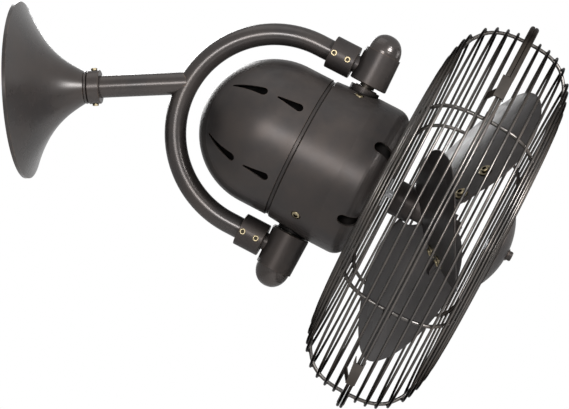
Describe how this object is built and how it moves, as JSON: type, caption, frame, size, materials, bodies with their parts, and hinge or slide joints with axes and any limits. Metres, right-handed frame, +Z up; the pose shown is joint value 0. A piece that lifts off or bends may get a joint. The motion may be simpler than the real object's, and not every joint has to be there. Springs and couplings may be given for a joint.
{
  "type": "wall fan",
  "caption": "Wall fan with a bell canopy, straight arm and half ring yoke that holds a domed motor head, a wire guard and wide blades.",
  "frame": {"origin": "centre of the canopy's wall face, on the wall plane and on the arm's axis", "axes": "+X out of the wall along the arm, +Y sideways, +Z up"},
  "size_m": [0.5516, 0.4252, 0.424],
  "materials": {
    "wall_plate": "satin",
    "arm_socket": "satin",
    "stop_screws": "satin",
    "canopy_bell": "satin textured bronze paint",
    "canopy_bead": "satin textured bronze paint",
    "arm_tube": "satin textured bronze paint",
    "canopy_collar": "satin textured bronze paint",
    "yoke_tube": "satin textured bronze paint",
    "clamp_collars": "satin textured bronze paint",
    "clamp_screws": "satin",
    "upper_pivot_housing": "satin textured bronze paint",
    "lower_pivot_housing": "satin textured bronze paint",
    "dome_caps": "satin textured bronze paint",
    "upper_pivot_pin": "satin",
    "lower_pivot_pin": "satin",
    "pin_nuts": "satin",
    "sector_gear": "satin",
    "drive_pinion": "satin",
    "rear_cover": "satin textured bronze paint",
    "seam_ring": "satin textured bronze paint",
    "front_housing": "satin textured bronze paint",
    "pivot_bosses": "satin textured bronze paint",
    "boss_sleeves": "satin",
    "pivot_bushes": "satin",
    "boss_locknuts": "satin",
    "housing_screws": "satin",
    "motor_frame": "as cast",
    "stator_core": "satin",
    "stator_windings": "enamelled copper wire",
    "motor_rear_bell": "as cast",
    "motor_front_bell": "as cast",
    "shaft_bearings": "satin",
    "drive_bracket": "satin",
    "drive_motor": "as cast",
    "capacitor": "matte",
    "inner_cup": "satin textured bronze paint",
    "motor_shaft": "satin",
    "rotor": "satin",
    "blade_hub": "satin textured bronze paint",
    "hub_nut": "satin",
    "blade_1": "satin textured bronze paint",
    "blade_2": "satin textured bronze paint",
    "blade_3": "satin textured bronze paint",
    "blade_arms": "satin textured bronze paint",
    "blade_washers": "satin",
    "blade_screws": "satin",
    "rear_guard_side_rings": "satin textured bronze paint",
    "front_guard_side_rings": "satin textured bronze paint",
    "rear_guard_face_rings": "satin textured bronze paint",
    "front_guard_face_rings": "satin textured bronze paint",
    "rear_guard_ribs": "satin textured bronze paint",
    "front_guard_ribs": "satin textured bronze paint",
    "rear_guard_plate": "satin textured bronze paint",
    "guard_nut": "satin",
    "front_guard_plate": "satin textured bronze paint",
    "front_cap": "satin textured bronze paint",
    "cap_stud": "satin",
    "cap_nut": "satin textured bronze paint",
    "rim_saddle": "satin textured bronze paint",
    "clasp_plates": "satin textured bronze paint"
  },
  "bodies": {
    "wall": {"wall_plate": "wall_plate", "arm_socket": "arm_socket", "stop_screws": "stop_screws", "canopy_bell": "canopy_bell", "canopy_bead": "canopy_bead"},
    "arm": {"arm_tube": "arm_tube", "canopy_collar": "canopy_collar", "yoke_tube": "yoke_tube", "clamp_collars": "clamp_collars", "clamp_screws": "clamp_screws", "upper_pivot_housing": "upper_pivot_housing", "lower_pivot_housing": "lower_pivot_housing", "dome_caps": "dome_caps", "upper_pivot_pin": "upper_pivot_pin", "lower_pivot_pin": "lower_pivot_pin", "pin_nuts": "pin_nuts", "sector_gear": "sector_gear"},
    "head": {"rear_cover": "rear_cover", "seam_ring": "seam_ring", "front_housing": "front_housing", "pivot_bosses": "pivot_bosses", "boss_sleeves": "boss_sleeves", "pivot_bushes": "pivot_bushes", "boss_locknuts": "boss_locknuts", "housing_screws": "housing_screws", "motor_frame": "motor_frame", "stator_core": "stator_core", "stator_windings": "stator_windings", "motor_rear_bell": "motor_rear_bell", "motor_front_bell": "motor_front_bell", "shaft_bearings": "shaft_bearings", "drive_bracket": "drive_bracket", "drive_motor": "drive_motor", "capacitor": "capacitor", "inner_cup": "inner_cup", "rear_guard_side_rings": "rear_guard_side_rings", "front_guard_side_rings": "front_guard_side_rings", "rear_guard_face_rings": "rear_guard_face_rings", "front_guard_face_rings": "front_guard_face_rings", "rear_guard_ribs": "rear_guard_ribs", "front_guard_ribs": "front_guard_ribs", "rear_guard_plate": "rear_guard_plate", "guard_nut": "guard_nut", "front_guard_plate": "front_guard_plate", "front_cap": "front_cap", "cap_stud": "cap_stud", "cap_nut": "cap_nut", "rim_saddle": "rim_saddle", "clasp_plates": "clasp_plates"},
    "spinner": {"motor_shaft": "motor_shaft", "rotor": "rotor", "blade_hub": "blade_hub", "hub_nut": "hub_nut", "blade_1": "blade_1", "blade_2": "blade_2", "blade_3": "blade_3", "blade_arms": "blade_arms", "blade_washers": "blade_washers", "blade_screws": "blade_screws"},
    "pinion": {"drive_pinion": "drive_pinion"}
  },
  "joints": [
    {"name": "arm_roll", "type": "hinge", "parent": "wall", "child": "arm", "pos_m": [0.02, 0, 0], "axis": [1, 0, 0], "range_deg": [-90, 90]},
    {"name": "head_oscillate", "type": "hinge", "parent": "arm", "child": "head", "pos_m": [0.30911, 0, -0.08543], "axis": [0.4939, 0, 0.8695], "range_deg": [-45, 45]},
    {"name": "blade_spin", "type": "hinge", "parent": "head", "child": "spinner", "pos_m": [0.30911, 0, -0.08543], "axis": [0.8695, 0, -0.4939], "continuous": true},
    {"name": "pinion_spin", "type": "hinge", "parent": "head", "child": "pinion", "pos_m": [0.25373, 0, -0.11814], "axis": [0.4939, 0, 0.8695], "range_deg": [-136, 136]}
  ],
  "couplings": [
    {"joint": "pinion_spin", "follows": "head_oscillate", "ratio": 3}
  ]
}
